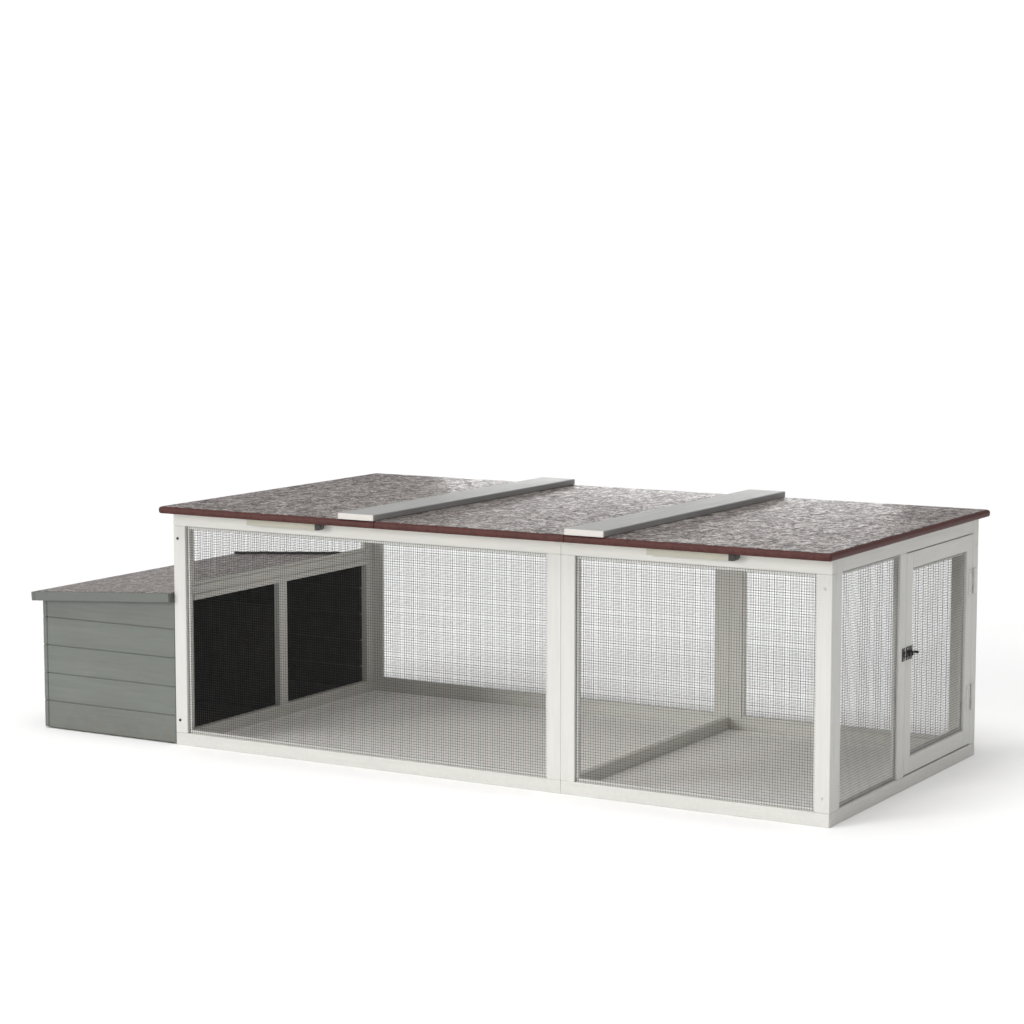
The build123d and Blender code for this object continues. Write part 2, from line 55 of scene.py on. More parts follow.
WAVER_FADE = 0.03          # the waver dies away this near the frame
WAVER_SEED = 7             # a seed of 0 would give another waver each time

HINGE_SCREW = 0.0028       # radius of a hinge screw's head
FITTING_SCREW = 0.0023     # radius of a bolt plate screw's head
PLATE_THICK = 0.0015       # hinge leaves and bolt plates alike
LEAF_SCREW_APART = 0.36    # off the leaf's middle along its pin, as a share of the leaf
LEAF_SCREW_OUT = 0.17      # off the leaf's middle away from its pin, as a share of the leaf
SCREW_SIDES = 16
SCREW_HEIGHT = 0.55        # a head's height, in radii
SCREW_RINGS = (            # each ring's share of the radius and of the height, from the rim inwards
    (1.0, 0.35), (0.93, 0.68), (0.78, 0.90), (0.60, 1.0), (0.56, 1.0), (0.46, 0.45),
)
CROSS_RING = 4             # the ring where the recess takes the shape of a cross
CROSS_ARM = 0.3            # half an arm's width, as a share of the ring's radius
CROSS_WAIST = 0.30         # how far in the corners between the arms are drawn

WHITE = (0.690, 0.685, 0.655)
LIT_END_CREAM = (0.66, 0.625, 0.59)
GREY_GREEN = (0.168, 0.181, 0.166)
BATTEN_GREY = (0.375, 0.375, 0.367)
# the prop sticks' paint: a greyer paint than the frame's, darkened further as painted shade for the eave's
# shadow on them
PROP_GREY_SHADED = (0.50, 0.485, 0.41)
PINE = (0.44, 0.36, 0.25)
AGED_PINE = (0.56, 0.47, 0.33)
SPLASHED_SOIL = (0.36, 0.32, 0.25)
DARK_SOIL = (0.16, 0.14, 0.11)
# near-black painted shade for the inside of the nest box
NEST_SHADE_BLACK = (0.012, 0.010, 0.009)


# ---- material recipes ---------------------------------------------------------------------------
class Recipe:
    """Builds one procedural finish: a few textures on Object coordinates feeding one shader."""

    def __init__(self, name):
        self.material = bpy.data.materials.new(name)
        self.material.use_nodes = True
        self.tree = self.material.node_tree
        self.shader = self.tree.nodes["Principled BSDF"]
        self.coords = self.tree.nodes.new("ShaderNodeTexCoord").outputs["Object"]

    def new(self, kind, links=(), **settings):
        made = self.tree.nodes.new(kind)
        for key, value in settings.items():
            setattr(made, key, value)
        for socket, value in dict(links).items():
            self.put(made.inputs[socket], value)
        return made

    def put(self, socket, value):
        if isinstance(value, bpy.types.NodeSocket):
            self.tree.links.new(value, socket)
        else:
            socket.default_value = value

    def stretched(self, along, ratio):
        """Object coordinates squeezed along one axis, so that a texture runs with the grain."""
        scale = [1.0, 1.0, 1.0]
        scale["XYZ".index(along)] = ratio
        return self.new("ShaderNodeMapping", {"Vector": self.coords, "Scale": scale}).outputs["Vector"]

    def noise(self, scale, detail=3.0, rough=0.55, coords=None, distortion=0.0):
        made = self.new("ShaderNodeTexNoise", {
            "Vector": coords or self.coords, "Scale": scale, "Detail": detail,
            "Roughness": rough, "Distortion": distortion,
        })
        return made.outputs["Fac"]

    def cells(self, scale, coords=None):
        made = self.new("ShaderNodeTexVoronoi", {"Vector": coords or self.coords, "Scale": scale})
        return made.outputs["Distance"]

    def math(self, operation, a, b=0.0):
        made = self.new("ShaderNodeMath", operation=operation)
        self.put(made.inputs[0], a)
        self.put(made.inputs[1], b)
        return made.outputs[0]

    def fit(self, value, low, high, to_low=0.0, to_high=1.0):
        made = self.new("ShaderNodeMapRange", {
            "Value": value, "From Min": low, "From Max": high, "To Min": to_low, "To Max": to_high,
        })
        return made.outputs["Result"]

    def ramp(self, value, stops):
        made = self.new("ShaderNodeValToRGB", {"Fac": value})
        ramp = made.color_ramp
        while len(ramp.elements) < len(stops):
            ramp.elements.new(1.0)
        for element, (place, colour) in zip(ramp.elements, stops):
            element.position = place
            element.color = (*colour, 1.0)
        return made.outputs["Color"]

    def mix(self, amount, a, b):
        made = self.new("ShaderNodeMix", data_type="RGBA")
        self.put(made.inputs[0], amount)
        for index, value in ((6, a), (7, b)):
            colour = (*value, 1.0) if isinstance(value, tuple) else value
            self.put(made.inputs[index], colour)
        return made.outputs[2]

    def axis(self, letter):
        split = self.new("ShaderNodeSeparateXYZ", {"Vector": self.coords})
        return split.outputs[letter]

    def bump(self, height, distance, strength):
        made = self.new("ShaderNodeBump", {"Height": height, "Distance": distance, "Strength": strength})
        return made.outputs["Normal"]

    def finish(self, colour, roughness, normal=None, metallic=0.0, specular=0.5):
        self.put(self.shader.inputs["Base Color"], colour)
        self.put(self.shader.inputs["Roughness"], roughness)
        self.shader.inputs["Metallic"].default_value = metallic
        self.shader.inputs["Specular IOR Level"].default_value = specular
        if normal is not None:
            self.put(self.shader.inputs["Normal"], normal)
        return self.material


def tinted(colour, amount):
    return tuple(channel * amount for channel in colour)


def painted_timber(name, colour, grain, undercoat, painted_lit_ends=False):
    """Brushed paint over planed softwood: grain lines, brush marks, a few knots ghosting through.

    grain is the axis that the boards run along. The last argument paints both sawn ends of the roof
    battens cream, lighter than their grey tops: painted light for the light that falls on the ends.
    """
    r = Recipe(name)
    along = r.stretched(grain, 0.05)
    grain_lines = r.noise(150.0, 5.0, 0.62, along, 0.6)
    brush = r.noise(620.0, 2.0, 0.5, along)
    drift = r.noise(2.6, 3.0, 0.6)
    knots = r.fit(r.cells(3.4, coords=r.stretched(grain, 0.45)), 0.0, 0.055, 1.0, 0.0)
    ghost = r.math("MULTIPLY", knots, r.fit(grain_lines, 0.35, 0.65, 0.25, 0.8))
    tone = r.mix(r.fit(drift, 0.3, 0.7, 0.0, 1.0), tinted(colour, 0.955), colour)
    tone = r.mix(r.fit(grain_lines, 0.38, 0.62, 0.0, 0.22), tone, tinted(colour, 0.80))
    tone = r.mix(r.math("MULTIPLY", ghost, 0.20), tone, undercoat)
    scuffs = r.fit(r.noise(38.0, 6.0, 0.72), 0.66, 0.74, 0.0, 0.35)
    tone = r.mix(scuffs, tone, tinted(undercoat, 1.15))
    low_down = r.fit(r.axis("Z"), 0.0, 0.06, 0.14, 0.0)
    splash = r.math("MULTIPLY", low_down, r.fit(r.noise(95.0, 5.0), 0.35, 0.7))
    tone = r.mix(splash, tone, SPLASHED_SOIL)
    # Painted light: the battens' sawn ends are painted cream, lighter than their grey tops, for the light
    # falling on them.
    if painted_lit_ends:
        front, back = (corner.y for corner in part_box("left_batten"))
        from_middle = r.math("ABSOLUTE", r.math("SUBTRACT", r.axis("Y"), (front + back) / 2))
        end = r.math("GREATER_THAN", from_middle, (back - front) / 2 - 0.0008)
        tone = r.mix(end, tone, LIT_END_CREAM)
    height = r.math("ADD", r.math("MULTIPLY", grain_lines, 0.7), r.math("MULTIPLY", brush, 0.3))
    normal = r.bump(height, 0.0010, 0.75)
    roughness = r.fit(r.math("ADD", grain_lines, scuffs), 0.3, 0.8, 0.42, 0.62)
    return r.finish(tone, roughness, normal, specular=0.42)


def clad_paint_and_shade():
    """Grey-green paint outside, and painted shade: near-black on the faces inside the nest box and on the
    board ends against the run.
    """
    low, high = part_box("nest_floor")
    r = Recipe("nest_paint_and_shade")
    along = r.stretched("Y", 0.5)
    squeezed = r.new("ShaderNodeMapping", {"Vector": r.coords, "Scale": (0.06, 0.06, 1.0)})
    along_boards = squeezed.outputs["Vector"]
    grain_lines = r.noise(170.0, 5.0, 0.62, along_boards, 0.5)
    streaks = r.noise(24.0, 4.0, 0.6, along_boards)
    drift = r.noise(3.2, 3.0, 0.6, along)
    tone = r.mix(r.fit(drift, 0.3, 0.7, 0.0, 1.0), tinted(GREY_GREEN, 0.92), tinted(GREY_GREEN, 1.06))
    tone = r.mix(r.fit(grain_lines, 0.36, 0.64, 0.0, 0.20), tone, tinted(GREY_GREEN, 0.70))
    tone = r.mix(r.fit(streaks, 0.55, 0.8, 0.0, 0.15), tone, (0.33, 0.35, 0.33))
    chalk = r.fit(r.noise(46.0, 6.0, 0.7), 0.66, 0.78, 0.0, 0.2)
    tone = r.mix(chalk, tone, (0.42, 0.43, 0.40))
    low_down = r.fit(r.axis("Z"), 0.0, 0.09, 0.5, 0.0)
    splash = r.math("MULTIPLY", low_down, r.fit(r.noise(50.0, 5.0), 0.38, 0.62))
    tone = r.mix(splash, tone, DARK_SOIL)
    # Painted shade: the faces inside the nest box, and the board ends against the run, are painted
    # near-black.
    edge_round = 0.004
    inside_front = r.math("GREATER_THAN", r.axis("Y"), low.y - edge_round)
    inside_back = r.math("LESS_THAN", r.axis("Y"), high.y + edge_round)
    inside_left = r.math("GREATER_THAN", r.axis("X"), low.x - edge_round)
    inside = r.math("MULTIPLY", r.math("MULTIPLY", inside_front, inside_back), inside_left)
    against_run = r.math("GREATER_THAN", r.axis("X"), high.x - 0.0006)
    inside = r.math("MAXIMUM", inside, against_run)
    tone = r.mix(inside, tone, NEST_SHADE_BLACK)
    normal = r.bump(r.math("ADD", grain_lines, r.math("MULTIPLY", streaks, 0.5)), 0.0006, 0.6)
    return r.finish(tone, r.fit(grain_lines, 0.3, 0.7, 0.50, 0.68), normal, specular=0.36)


def nest_shade_timber():
    """The near-black wood inside the nest box: painted shade for the dark inside."""
    r = Recipe("nest_shade_pine")
    along = r.stretched("Z", 0.08)
    lines = r.noise(90.0, 5.0, 0.6, along, 0.5)
    tone = r.mix(r.fit(lines, 0.3, 0.7, 0.0, 1.0), (0.008, 0.007, 0.006), (0.030, 0.023, 0.018))
    return r.finish(tone, r.fit(lines, 0.3, 0.7, 0.6, 0.8), r.bump(lines, 0.0008, 0.6), specular=0.25)


def plywood():
    """Bare roof boards seen from below."""
    r = Recipe("plywood")
    along = r.stretched("Y", 0.07)
    figure = r.noise(26.0, 6.0, 0.6, along, 1.6)
    lines = r.noise(210.0, 4.0, 0.6, along)
    tone = r.mix(r.fit(figure, 0.3, 0.7, 0.0, 1.0), tinted(PINE, 0.72), tinted(PINE, 1.18))
    tone = r.mix(r.fit(lines, 0.42, 0.7, 0.0, 0.4), tone, tinted(PINE, 0.45))
    patches = r.fit(r.cells(2.2), 0.0, 0.035, 1.0, 0.0)
    tone = r.mix(patches, tone, tinted(PINE, 0.30))
    return r.finish(tone, 0.72, r.bump(lines, 0.0005, 0.5), specular=0.3)


def roof_felt(name, contrast):
    """Bitumen felt pressed full of mineral granules, dark, brown-grey and pale.

    A contrast under 1 gives granules that are closer in colour and lie flatter.
    """
    r = Recipe(name)
    shake = r.new("ShaderNodeTexNoise", {"Vector": r.coords, "Scale": 260.0, "Detail": 1.0}).outputs["Color"]
    reach = (0.0016, 0.0016, 0.0016)
    push = r.new("ShaderNodeVectorMath", {0: shake, 1: reach}, operation="MULTIPLY").outputs[0]
    shaken = r.new("ShaderNodeVectorMath", {0: r.coords, 1: push}, operation="ADD").outputs[0]

    def granules(scale):
        cells = r.new("ShaderNodeTexVoronoi", {"Vector": shaken, "Scale": scale})
        shade = r.new("ShaderNodeSeparateColor", {"Color": cells.outputs["Color"]}).outputs[0]
        return shade, cells.outputs["Distance"]

    fine_shade, fine_dome = granules(420.0)
    coarse_shade, coarse_dome = granules(170.0)
    clump_shade = granules(80.0)[0]
    level = r.math("ADD", r.math("MULTIPLY", fine_shade, 0.35), r.math("MULTIPLY", coarse_shade, 0.35))
    level = r.math("ADD", level, r.math("MULTIPLY", clump_shade, 0.30))
    level = r.math("ADD", level, r.fit(r.noise(6.0, 4.0, 0.6), 0.3, 0.7, -0.05, 0.05))
    drifts = r.noise(62.0, 3.0, 0.65, r.stretched("Y", 0.42))
    level = r.math("ADD", level, r.fit(drifts, 0.34, 0.66, -0.17, 0.13))
    tone = r.ramp(level, [
        (0.16, (0.015, 0.012, 0.011)),
        (0.34, (0.082, 0.067, 0.061)),
        (0.50, (0.185, 0.153, 0.141)),
        (0.64, (0.275, 0.236, 0.221)),
        (0.78, (0.42, 0.38, 0.36)),
        (0.92, (0.66, 0.62, 0.60)),
    ])
    tone = r.mix(contrast, (0.200, 0.178, 0.170), tone)
    height = r.math("SUBTRACT", r.math("MULTIPLY", coarse_shade, 0.9), r.math("MULTIPLY", coarse_dome, 0.8))
    height = r.math("SUBTRACT", height, r.math("MULTIPLY", fine_dome, 0.35))
    height = r.math("ADD", height, r.math("MULTIPLY", clump_shade, 0.7))
    height = r.math("ADD", height, r.math("MULTIPLY", drifts, 1.6))
    normal = r.bump(height, 0.0022 * contrast, 0.9)
    rough = r.fit(r.math("ADD", coarse_shade, r.math("MULTIPLY", drifts, 1.5)), 0.3, 1.6, 0.68, 0.34)
    return r.finish(tone, rough, normal, specular=0.62)


def edge_strip():
    """Dark red-brown strip round the roof, satin with a little dust in its pores."""
    r = Recipe("red_brown_edge")
    mottling = r.noise(60.0, 5.0, 0.65)
    fine = r.noise(900.0, 2.0)
    tone = r.mix(r.fit(mottling, 0.35, 0.65, 0.0, 1.0), (0.060, 0.018, 0.016), (0.098, 0.032, 0.027))
    tone = r.mix(r.fit(fine, 0.55, 0.75, 0.0, 0.25), tone, (0.13, 0.10, 0.09))
    return r.finish(tone, r.fit(mottling, 0.3, 0.7, 0.42, 0.60), r.bump(fine, 0.0003, 0.5), specular=0.22)


def galvanised_wire():
    """Dull, darkened wire with a trace of the zinc's spangle."""
    r = Recipe("galvanised_wire")
    spangle = r.cells(420.0)
    dull = r.noise(70.0, 4.0, 0.6)
    tone = r.mix(r.fit(dull, 0.35, 0.65, 0.0, 1.0), (0.026, 0.027, 0.026), (0.066, 0.068, 0.067))
    tone = r.mix(r.fit(spangle, 0.0, 0.8, 0.0, 0.20), tone, (0.12, 0.123, 0.123))
    return r.finish(tone, r.fit(dull, 0.3, 0.7, 0.45, 0.65), metallic=0.2, specular=0.25)


def black_coat():
    """Black powder coat, rubbed grey in places."""
    r = Recipe("black_powder_coat")
    orange_peel = r.noise(1500.0, 2.0)
    rubbed = r.fit(r.noise(120.0, 6.0, 0.75), 0.62, 0.72, 0.0, 1.0)
    tone = r.mix(rubbed, (0.018, 0.017, 0.016), (0.085, 0.080, 0.076))
    roughness = r.fit(orange_peel, 0.3, 0.7, 0.34, 0.5)
    return r.finish(tone, roughness, r.bump(orange_peel, 0.0002, 0.5))


def zinc():
    """Plated screws, clouded with age."""
    r = Recipe("zinc_plate")
    cloud = r.noise(300.0, 5.0, 0.7)
    tone = r.mix(r.fit(cloud, 0.3, 0.7, 0.0, 1.0), (0.26, 0.24, 0.21), (0.56, 0.54, 0.50))
    return r.finish(tone, r.fit(cloud, 0.3, 0.7, 0.32, 0.55), r.bump(cloud, 0.0002, 0.4), metallic=0.85)


def white_coat():
    """White powder coat of the hinges and their screws."""
    r = Recipe("white_powder_coat")
    orange_peel = r.noise(1500.0, 2.0)
    rubbed = r.fit(r.noise(150.0, 6.0, 0.75), 0.64, 0.72, 0.0, 0.6)
    tone = r.mix(rubbed, tinted(WHITE, 0.97), (0.42, 0.41, 0.38))
    roughness = r.fit(orange_peel, 0.3, 0.7, 0.30, 0.45)
    return r.finish(tone, roughness, r.bump(orange_peel, 0.0002, 0.5))


def black_rubber():
    """The near-black strip along the back edge of the nest lid."""
    r = Recipe("black_rubber")
    grain = r.noise(800.0, 3.0)
    tone = r.mix(r.fit(grain, 0.4, 0.7, 0.0, 1.0), (0.008, 0.008, 0.008), (0.022, 0.021, 0.020))
    return r.finish(tone, 0.75, r.bump(grain, 0.0004, 0.5), specular=0.25)


white_timber = {
    grain: painted_timber("white_paint_" + grain, WHITE, grain, AGED_PINE) for grain in "XYZ"
}
# the battens' cream ends are painted light
batten_timber = painted_timber("batten_paint", BATTEN_GREY, "Y", (0.34, 0.30, 0.24), painted_lit_ends=True)
# the prop sticks are a greyer paint, darkened further as painted shade for the eave's shadow
prop_timber = painted_timber("prop_timber", PROP_GREY_SHADED, "X", (0.38, 0.33, 0.24))
lid_board_paint = painted_timber("nest_lid_paint", tinted(GREY_GREEN, 0.86), "Y", (0.30, 0.28, 0.22))
felt = roof_felt("mineral_felt", 1.0)
nest_felt = roof_felt("fine_mineral_felt", 0.55)
nest_paint_and_shade = clad_paint_and_shade()
nest_shade_wood = nest_shade_timber()
deck_ply = plywood()
strip_finish = edge_strip()
wire_finish = galvanised_wire()
black_metal = black_coat()
zinc_plate = zinc()
white_metal = white_coat()
back_strip_black = black_rubber()

NODES_BY_FINISH = (
    (white_timber["Z"], ("front_stiles", "back_stiles", "left_end_stiles", "right_end_stiles",
                         "door_stiles")),
    (white_timber["X"], ("front_rails", "back_rails", "long_wall_beads")),
    (white_timber["Y"], ("left_end_rails", "right_end_rails", "door_rails", "end_wall_beads", "door_beads",
                         "floor_tie", "roof_bearers", "pop_hole_header")),
    (prop_timber, ("left_prop_stick", "right_prop_stick")),
    (batten_timber, ("left_batten", "right_batten")),
    (deck_ply, ("left_lid_deck", "middle_roof_deck", "right_lid_deck")),
    (felt, ("left_lid_felt", "middle_roof_felt", "right_lid_felt")),
    (strip_finish, ("left_lid_edge_strips", "middle_roof_edge_strips", "right_lid_edge_strips")),
    (nest_felt, ("nest_lid_felt",)),
    (lid_board_paint, ("nest_lid_deck", "nest_lid_edge_boards")),
    (back_strip_black, ("nest_lid_back_strip",)),
    (nest_paint_and_shade, ("nest_front_boards", "nest_back_boards", "nest_end_boards")),
    # painted shade: the posts, floor and divider inside the nest box are near-black
    (nest_shade_wood, ("nest_corner_posts", "nest_floor", "nest_divider")),
    (wire_finish, ("front_mesh", "back_mesh", "left_end_mesh", "right_end_mesh", "door_mesh")),
)


def finish_cad_nodes():
    """Gives each CAD node its finish; those in no row are fittings, white hinges and black ironwork."""
    finishes = {node: finish for finish, nodes in NODES_BY_FINISH for node in nodes}
    for node, cad_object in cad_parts.items():
        fitting = white_metal if "hinge" in node else black_metal
        cad_object.data.materials.clear()
        cad_object.data.materials.append(finishes.get(node, fitting))


finish_cad_nodes()


# ---- pieces -------------------------------------------------------------------------------------
def piece(name, shape, finish, body):
    """Turns a bmesh into a finished piece that rides on a body."""
    bmesh.ops.recalc_face_normals(shape, faces=shape.faces)
    mesh = bpy.data.meshes.new(name)
    shape.to_mesh(mesh)
    shape.free()
    mesh.materials.append(finish)
    made = bpy.data.objects.new(name, mesh)
    bpy.context.scene.collection.objects.link(made)
    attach(made, body)
    return made


def add_wire(shape, middle, across, length):
    """A straight wire centred on middle; across None stands it upright."""
    turn = Matrix.Identity(4)
    if across == 0:
        turn = Matrix.Rotation(math.pi / 2, 4, "Y")
    elif across == 1:
        turn = Matrix.Rotation(-math.pi / 2, 4, "X")
    bmesh.ops.create_cone(
        shape, cap_ends=True, segments=WIRE_SIDES, radius1=WIRE_RADIUS, radius2=WIRE_RADIUS, depth=length,
        matrix=Matrix.Translation(middle) @ turn,
    )


def wire_panel(name, body, low, high, across, outward):
    """Welded wire over one opening: uprights, with the level wires sunk into their inner side.

    The sheet keeps a little of the waver of its roll, so every wire is cut into lengths that follow it.
    """
    shape = bmesh.new()
    sheet_axis = 1 - across
    plane = (low[sheet_axis] + high[sheet_axis]) / 2
    sunk = outward * WIRE_RADIUS * WIRE_LAYER
    centre = (low + high) / 2
    size = high - low
    columns = int(size[across] / WIRE_PITCH)
    for column in range(columns + 1):
        middle = centre.copy()
        middle[across] += (column - columns / 2) * WIRE_PITCH
        middle[sheet_axis] = plane + sunk
        add_wire(shape, middle, None, size.z + 2 * WIRE_TUCK)
    rows = int(size.z / WIRE_PITCH)
    for row in range(rows + 1):
        middle = centre.copy()
        middle.z += (row - rows / 2) * WIRE_PITCH
        middle[sheet_axis] = plane - sunk
        add_wire(shape, middle, across, size[across] + 2 * WIRE_TUCK)
    long_edges = [edge for edge in shape.edges if edge.calc_length() > 4 * WIRE_RADIUS]
    bmesh.ops.subdivide_edges(shape, edges=long_edges, cuts=WIRE_BENDS)
    for vert in shape.verts:
        waver = noise.noise_vector(vert.co * WAVER_SCALE) * WIRE_WAVER
        inside = min(min(vert.co[i] - low[i], high[i] - vert.co[i]) for i in (across, 2))
        vert.co += waver * min(max(inside / WAVER_FADE, 0.0), 1.0)
    return piece(name, shape, wire_finish, body)


def box_around(points):
    low = Vector([min(p[i] for p in points) for i in range(3)])
    high = Vector([max(p[i] for p in points) for i in range(3)])
    return low, high


def long_wall_wires():
    """Two panels in each long wall, one on each side of the seam between its frames."""
    seam = sum(corner.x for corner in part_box("floor_tie")) / 2
    for wall, outward in (("front", -1), ("back", 1)):
        node = wall + "_mesh"
        corners = [vert.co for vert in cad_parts[node].data.vertices]
        for side, right_of_seam in (("left", False), ("right", True)):
            low, high = box_around([corner for corner in corners if (corner.x > seam) == right_of_seam])
            made = wire_panel(wall + "_wire_" + side, "coop", low, high, 0, outward)
            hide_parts(node)


def end_wires():
    for part, body, outward in (("left_end", "coop", -1), ("right_end", "coop", 1), ("door", "end_door", 1)):
        low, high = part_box(part + "_mesh")
        made = wire_panel(part + "_wire", body, low, high, 1, outward)
        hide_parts(part + "_mesh")


noise.seed_set(WAVER_SEED)
long_wall_wires()
end_wires()


# ---- screws -------------------------------------------------------------------------------------
def edges_around(ring):
    """The edges that join a ring's own vertices, each once, in a fixed order."""
    touching = dict.fromkeys(edge for vert in ring for edge in vert.link_edges)
    return [edge for edge in touching if all(vert in ring for vert in edge.verts)]


def screw_head(shape, place, direction, radius, turn):
    """A pan head with a cross recess; place is where its underside meets the face."""
    height = radius * SCREW_HEIGHT
    start = Matrix.Rotation(math.pi / SCREW_SIDES, 4, "Z")
    circle = bmesh.ops.create_circle(shape, segments=SCREW_SIDES, radius=radius, cap_ends=True, matrix=start)
    ring = circle["verts"]
    made = list(ring)
    reach = 1.0
    level = 0.0
    for step, (new_reach, new_level) in enumerate(SCREW_RINGS):
        grown = bmesh.ops.extrude_edge_only(shape, edges=edges_around(ring))["geom"]
        ring = [item for item in grown if isinstance(item, bmesh.types.BMVert)]
        shrink = new_reach / reach
        bmesh.ops.scale(shape, vec=(shrink, shrink, 1.0), verts=ring)
        bmesh.ops.translate(shape, vec=(0.0, 0.0, (new_level - level) * height), verts=ring)
        if step == CROSS_RING:
            arm = CROSS_ARM * new_reach * radius
            between = [vert for vert in ring if min(abs(vert.co.x), abs(vert.co.y)) > arm]
            bmesh.ops.scale(shape, vec=(CROSS_WAIST, CROSS_WAIST, 1.0), verts=between)
        reach, level = new_reach, new_level
        made += ring
    bmesh.ops.edgeloop_fill(shape, edges=edges_around(ring))
    lay = Vector(direction).to_track_quat("Z", "Y").to_matrix().to_4x4() @ Matrix.Rotation(turn, 4, "Z")
    bmesh.ops.transform(shape, matrix=Matrix.Translation(place) @ lay, verts=made)


def separate_boxes(node):
    """The boxes of a node's separate solids, in a fixed order."""
    shape = bmesh.new()
    shape.from_mesh(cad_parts[node].data)
    bmesh.ops.remove_doubles(shape, verts=shape.verts, dist=1e-6)
    seen = set()
    boxes = []
    for first in shape.verts:
        if first in seen:
            continue
        seen.add(first)
        found = [first]
        for vert in found:
            for edge in vert.link_edges:
                other = edge.other_vert(vert)
                if other not in seen:
                    seen.add(other)
                    found.append(other)
        boxes.append(box_around([vert.co for vert in found]))
    shape.free()
    return sorted(boxes, key=lambda box: tuple(round(value, 4) for value in (*box[0], *box[1])))


def facing(axis, sign):
    direction = Vector((0.0, 0.0, 0.0))
    direction[axis] = sign
    return direction


def screws(name, places, direction, radius, finish, body):
    """One piece of screw heads, each turned its own way."""
    chance = random.Random(name)
    shape = bmesh.new()
    for place in places:
        screw_head(shape, place, direction, radius, chance.uniform(0.0, math.pi / 2))
    piece(name, shape, finish, body)


def frame_screws():
    """The heads in the run's stiles, in place of the plain ones, each on the face that it stands proud of.

    Those in the left corner stiles were driven after painting, and the rest are painted over.
    """
    chance = random.Random(5)
    bare = bmesh.new()
    painted = bmesh.new()
    for low, high in separate_boxes("frame_screws"):
        size = high - low
        axis = min(range(3), key=lambda i: size[i])
        place = (low + high) / 2
        outward = 1.0 if place[axis] > 0 else -1.0
        place[axis] -= outward * size[axis] / 2
        shape = bare if place.x < 0 else painted
        screw_head(shape, place, facing(axis, outward), max(size) / 2, chance.uniform(0.0, math.pi / 2))
    for kind, shape, finish in (("bare", bare, black_metal), ("painted", painted, white_metal)):
        made = piece(kind + "_screw_heads", shape, finish, "coop")
        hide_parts("frame_screws")


def leaf_screws(node, body, face_axis, outward, reach_axis, reach_sign):
    """Two screws in each hinge leaf of a node, out beyond its barrel.

    face_axis and outward say which way the leaf's open face looks, reach_axis and reach_sign which
    way the leaf reaches from its pin.
    """
    pin_axis = 3 - face_axis - reach_axis
    places = []
    for low, high in separate_boxes(node):
        middle = (low + high) / 2
        wall = low[face_axis] if outward > 0 else high[face_axis]
        for share in (-LEAF_SCREW_APART, LEAF_SCREW_APART):
            place = middle.copy()
            place[face_axis] = wall + outward * PLATE_THICK
            place[pin_axis] += share * (high[pin_axis] - low[pin_axis])
            place[reach_axis] += reach_sign * LEAF_SCREW_OUT * (high[reach_axis] - low[reach_axis])
            places.append(place)
    direction = facing(face_axis, outward)
    screws(node + "_screws", places, direction, HINGE_SCREW, white_metal, body)


def plate_screws(node, body, spread_y, spread_z):
    """Screws in a small plate on the right end; a spread is how far off centre, as a share of its size."""
    low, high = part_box(node)
    middle = (low + high) / 2
    size = high - low
    places = []
    for share_y in sorted({-spread_y, spread_y}):
        for share_z in sorted({-spread_z, spread_z}):
            places.append(Vector((
                low.x + PLATE_THICK,
                middle.y + share_y * size.y,
                middle.z + share_z * size.z,
            )))
    screws(node + "_screws", places, facing(0, 1.0), FITTING_SCREW, zinc_plate, body)


frame_screws()
leaf_screws("roof_hinge_fixed_leaves", "coop", 1, 1, 2, -1)
leaf_screws("left_lid_hinge_leaves", "roof_lid_left", 2, -1, 1, 1)
leaf_screws("right_lid_hinge_leaves", "roof_lid_right", 2, -1, 1, 1)
leaf_screws("door_hinge_fixed_leaves", "coop", 0, 1, 1, 1)
leaf_screws("door_hinge_leaves", "end_door", 0, 1, 1, -1)
leaf_screws("nest_hinge_fixed_leaves", "coop", 0, -1, 2, -1)
plate_screws("bolt_plate", "end_door", 0.36, 0.38)
plate_screws("bolt_keeper", "coop", 0.0, 0.38)


# ---- floor, light and camera --------------------------------------------------------------------
def studio_floor():
    """A wide pale floor under the coop."""
    shape = bmesh.new()
    bmesh.ops.create_grid(shape, x_segments=1, y_segments=1, size=90.0)
    mesh = bpy.data.meshes.new("floor")
    shape.to_mesh(mesh)
    shape.free()
    r = Recipe("pale_floor")
    cloud = r.noise(1.5, 3.0)
    tone = r.mix(r.fit(cloud, 0.3, 0.7, 0.0, 1.0), (0.98, 0.98, 0.98), (0.99, 0.99, 0.99))
    mesh.materials.append(r.finish(tone, 0.9, specular=0.1))
    floor = bpy.data.objects.new("floor", mesh)
    bpy.context.scene.collection.objects.link(floor)


def towards(azimuth, elevation):
    """Unit vector from the coop to a compass direction; 0 is the front and 90 the right end."""
    a = math.radians(azimuth)
    e = math.radians(elevation)
    return Vector((math.sin(a) * math.cos(e), -math.cos(a) * math.cos(e), math.sin(e)))


def aim(thing, away):
    """Puts a lamp or the camera in the scene, looking back along a direction."""
    thing.rotation_mode = "QUATERNION"
    thing.rotation_quaternion = (-away).to_track_quat("-Z", "Y")
    bpy.context.scene.collection.objects.link(thing)


def distant_light(name, azimuth, elevation, strength, spread, colour=(1.0, 1.0, 1.0)):
    """A far soft light; strength 1 makes a white face turned to it as bright as paper."""
    lamp = bpy.data.lights.new(name, "SUN")
    lamp.energy = strength * math.pi
    lamp.angle = math.radians(spread)
    lamp.color = colour
    aim(bpy.data.objects.new(name, lamp), towards(azimuth, elevation))


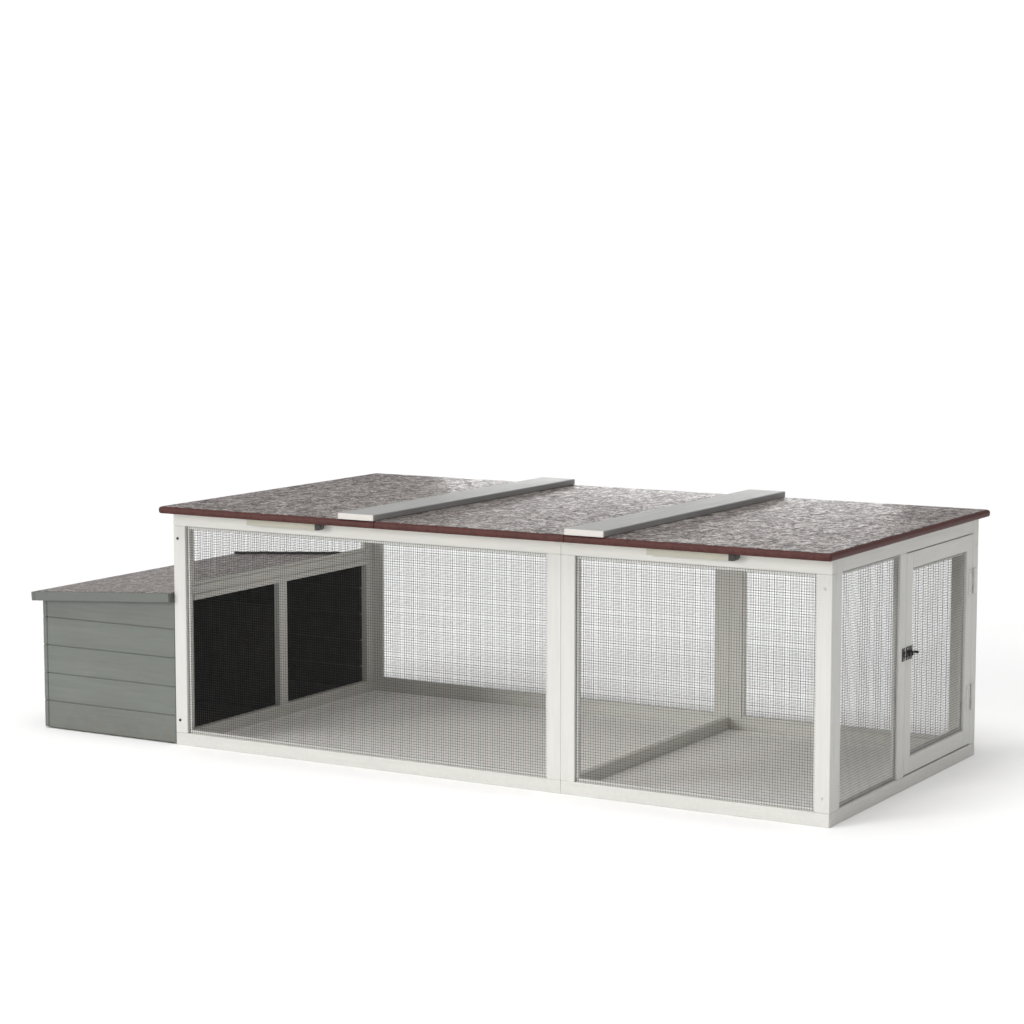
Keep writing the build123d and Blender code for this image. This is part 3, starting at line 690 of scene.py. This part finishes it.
def soft_box(name, place, away, width, height, power, spread=180.0):
    """A rectangular light at place that shines away from a direction."""
    lamp = bpy.data.lights.new(name, "AREA")
    lamp.shape = "RECTANGLE"
    lamp.size = width
    lamp.size_y = height
    lamp.spread = math.radians(spread)
    lamp.energy = power
    made = bpy.data.objects.new(name, lamp)
    made.location = place
    made.visible_camera = False
    aim(made, Vector(away).normalized())


def inside_light():
    """Lifts the shade under the roof, as the pale walls of a studio do."""
    low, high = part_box("front_rails")
    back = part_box("back_rails")[1].y
    under_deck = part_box("middle_roof_deck")[0].z - 0.03
    place = ((low.x + high.x) / 2, (low.y + back) / 2, under_deck)
    width = (high.x - low.x) * 0.85
    depth = (back - low.y) * 0.7
    soft_box("inside_fill", place, away=(0.0, 0.0, 1.0), width=width, height=depth, power=1.3)


def sheen_light():
    """A low strip light close behind the coop that shines along its roof."""
    place = Vector((-0.03, 1.0, 0.685))
    roof = Vector((place.x + 0.25, 0.2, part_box("right_lid_felt")[1].z))
    soft_box("roof_sheen", place, away=place - roof, width=1.30, height=0.07, power=0.44, spread=70.0)


def studio_sky(overhead, backdrop):
    """Even grey all round, with a white band at the horizon behind the coop.

    overhead and backdrop are the strengths of the grey and of the band.
    """
    world = bpy.data.worlds.new("studio")
    world.use_nodes = True
    tree = world.node_tree
    direction = tree.nodes.new("ShaderNodeTexCoord").outputs["Generated"]

    def fade(value, low, high, to_low, to_high):
        made = tree.nodes.new("ShaderNodeMapRange")
        for name, amount in (("From Min", low), ("From Max", high), ("To Min", to_low), ("To Max", to_high)):
            made.inputs[name].default_value = amount
        tree.links.new(value, made.inputs["Value"])
        return made.outputs["Result"]

    def along(axis):
        made = tree.nodes.new("ShaderNodeVectorMath")
        made.operation = "DOT_PRODUCT"
        tree.links.new(direction, made.inputs[0])
        made.inputs[1].default_value = axis
        return made.outputs["Value"]

    def times(a, b):
        made = tree.nodes.new("ShaderNodeMath")
        made.operation = "MULTIPLY"
        tree.links.new(a, made.inputs[0])
        tree.links.new(b, made.inputs[1])
        return made.outputs[0]

    up = along((0.0, 0.0, 1.0))
    low_down = fade(up, math.sin(math.radians(7.0)), math.sin(math.radians(16.0)), 1.0, 0.0)
    behind = fade(along(-towards(azimuth=30.0, elevation=0.0)), 0.72, 0.92, 0.0, 1.0)
    strength = fade(times(low_down, behind), 0.0, 1.0, overhead, backdrop)
    tree.links.new(strength, tree.nodes["Background"].inputs["Strength"])
    tree.nodes["Background"].inputs["Color"].default_value = (1.0, 1.0, 1.0, 1.0)
    bpy.context.scene.world = world


def studio_camera():
    """From the front right, a little above the roof."""
    camera = bpy.data.cameras.new("camera")
    camera.sensor_width = 36.0
    camera.lens = 90.26
    camera.clip_end = 200.0
    view = bpy.data.objects.new("camera", camera)
    view.location = (3.2481, -5.4595, 1.3033)
    aim(view, towards(azimuth=30.4005, elevation=6.5067))
    bpy.context.scene.camera = view


def studio():
    bpy.context.scene.view_settings.view_transform = "Standard"
    warm_white = (1.0, 0.995, 0.97)
    studio_floor()
    studio_sky(overhead=0.27, backdrop=1.05)
    distant_light("front_key", azimuth=-30.0, elevation=15.0, strength=0.475, spread=24.0, colour=warm_white)
    distant_light("top_fill", azimuth=-10.0, elevation=78.0, strength=0.67, spread=50.0)
    sheen_light()
    inside_light()
    studio_camera()


studio()
